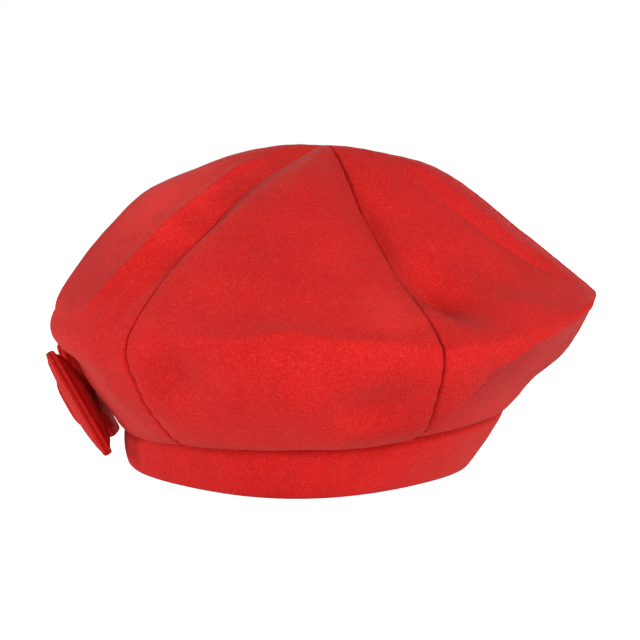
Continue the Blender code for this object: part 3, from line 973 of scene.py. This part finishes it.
def wound_thread(middle, up, side, out):
    """Vertices and faces of a thread wound round the shank."""
    turns, around = THREAD_GRID
    half_width, half_height = THREAD
    run = np.linspace(0, 1, turns)
    angle = run * THREAD_TURNS * 2 * math.pi
    outwards = up * np.cos(angle)[:, None] + side * np.sin(angle)[:, None]
    climb = (run - 0.5) * (TACK_LENGTH - 2 * half_width)
    spine = middle + outwards * (TACK_RADIUS - half_width) + out * climb[:, None]
    ring = np.arange(around) * 2 * math.pi / around
    wide = outwards[:, None] * (half_width * np.cos(ring))[None, :, None]
    tube = spine[:, None] + wide + (out * half_height) * np.sin(ring)[None, :, None]
    number = np.arange(turns * around).reshape(turns, around)
    beside = np.roll(number, -1, 1)
    faces = np.stack([number[:-1], beside[:-1], beside[1:], number[1:]], -1).reshape(-1, 4).tolist()
    return tube.reshape(-1, 3), faces + [number[0, ::-1].tolist(), number[-1].tolist()]


def add_bow_tack(thread):
    """The thread shank between bow and crown: a core of strands, and the thread wound round it."""
    _, up, out = bow_axes()
    side = np.cross(out, up)
    middle = KNOT_CENTRE - out * TACK_REACH
    winding, faces = wound_thread(middle, up, side, out)
    ring = np.arange(CORE_SIDES) * 2 * math.pi / CORE_SIDES
    rim = up * (CORE_RADIUS * np.cos(ring))[:, None] + side * (CORE_RADIUS * np.sin(ring))[:, None]
    ends = [middle + out * (level * TACK_LENGTH) + rim for level in (-0.5, 0.5)]
    low = np.arange(CORE_SIDES) + len(winding)
    high = low + CORE_SIDES
    faces += np.stack([low, np.roll(low, -1), np.roll(high, -1), high], -1).tolist()
    faces += [low[::-1].tolist(), high.tolist()]
    vertices = np.concatenate([winding, *ends])
    add_piece("bow_shank", vertices, faces, thread, "hat", "bow_tack")


# ---- stage ----

CAMERA_AT = (-0.0005, -0.7026, 0.1570)
CAMERA_PITCH = 6.7
CAMERA_LENS = 75.15
AMBIENT = 0.05
BACKDROP = 1.0
FLOOR_GLOW = 0.06
FLOOR_SEEN = 0.97  # what the camera sees the floor glow with
FLOOR_RADIUS = 6.0
FLOOR_SIDES = 96
LIGHT_DISTANCE = 2.0
LIT_HEIGHT = 0.08  # the lights point at this height on the axis
LIGHTS = (
    # name, azimuth, elevation, size, power
    ("left", -100.0, 9.0, 0.5, 15.5),
    ("left_front", -40.0, 11.0, 0.5, 15.0),
    ("front", -8.0, 6.0, 0.5, 7.5),
    ("right_front", 32.0, 20.0, 0.5, 12.5),
    ("right", 55.0, 36.0, 0.5, 18.5),
    ("rear", 165.0, 16.0, 0.8, 12.0),
)


def add_area_light(name, azimuth, elevation, size, power):
    """A round soft light that points at the hat."""
    turn, rise = math.radians(azimuth), math.radians(elevation)
    away = Vector((math.sin(turn) * math.cos(rise), -math.cos(turn) * math.cos(rise), math.sin(rise)))
    light = bpy.data.lights.new(name, "AREA")
    light.shape = "DISK"
    light.size = size
    light.energy = power
    lamp = bpy.data.objects.new(name, light)
    lamp.location = Vector((0.0, 0.0, LIT_HEIGHT)) + away * LIGHT_DISTANCE
    lamp.rotation_mode = "QUATERNION"
    lamp.rotation_quaternion = (-away).to_track_quat("-Z", "Y")
    bpy.context.scene.collection.objects.link(lamp)


def add_floor():
    mesh = bpy.data.meshes.new("floor")
    turns = [number * 2 * math.pi / FLOOR_SIDES for number in range(FLOOR_SIDES)]
    around = [(FLOOR_RADIUS * math.cos(turn), FLOOR_RADIUS * math.sin(turn), 0.0) for turn in turns]
    mesh.from_pydata(around, [], [list(range(FLOOR_SIDES))])
    mesh.materials.append(floor_material())
    floor = bpy.data.objects.new("floor", mesh)
    bpy.context.scene.collection.objects.link(floor)


def add_world():
    """Soft light from all round, with a plain backdrop that only the camera sees."""
    world = bpy.data.worlds.new("studio")
    bpy.context.scene.world = world
    world.use_nodes = True
    nodes, links = world.node_tree.nodes, world.node_tree.links
    ambient = nodes["Background"]
    ambient.inputs["Color"].default_value = (1.0, 1.0, 1.0, 1.0)
    ambient.inputs["Strength"].default_value = AMBIENT
    backdrop = nodes.new("ShaderNodeBackground")
    backdrop.inputs["Color"].default_value = (BACKDROP, BACKDROP, BACKDROP, 1.0)
    seen = nodes.new("ShaderNodeLightPath")
    mixed = nodes.new("ShaderNodeMixShader")
    links.new(seen.outputs["Is Camera Ray"], mixed.inputs["Fac"])
    links.new(ambient.outputs["Background"], mixed.inputs[1])
    links.new(backdrop.outputs["Background"], mixed.inputs[2])
    links.new(mixed.outputs["Shader"], nodes["World Output"].inputs["Surface"])


def add_camera():
    camera_data = bpy.data.cameras.new("camera")
    camera_data.sensor_width = 36.0
    camera_data.lens = CAMERA_LENS
    camera_data.clip_start = 0.05
    camera = bpy.data.objects.new("camera", camera_data)
    camera.location = CAMERA_AT
    camera.rotation_euler = (math.radians(90.0 - CAMERA_PITCH), 0.0, 0.0)
    bpy.context.scene.collection.objects.link(camera)
    bpy.context.scene.camera = camera
    bpy.context.scene.view_settings.view_transform = "Standard"


def main():
    cloth = napped_cloth()
    add_crown(cloth, satin_lining())
    add_band(cloth, interlining())
    add_size_tab(woven_tape())
    add_bow_panel("bow_front", 1.0, cloth, "bow_front_panel")
    add_bow_panel("bow_back", -1.0, cloth, "bow_back_panel")
    add_bow_knot(cloth)
    add_bow_tack(sewing_thread())
    add_floor()
    add_world()
    for light in LIGHTS:
        add_area_light(*light)
    add_camera()


main()
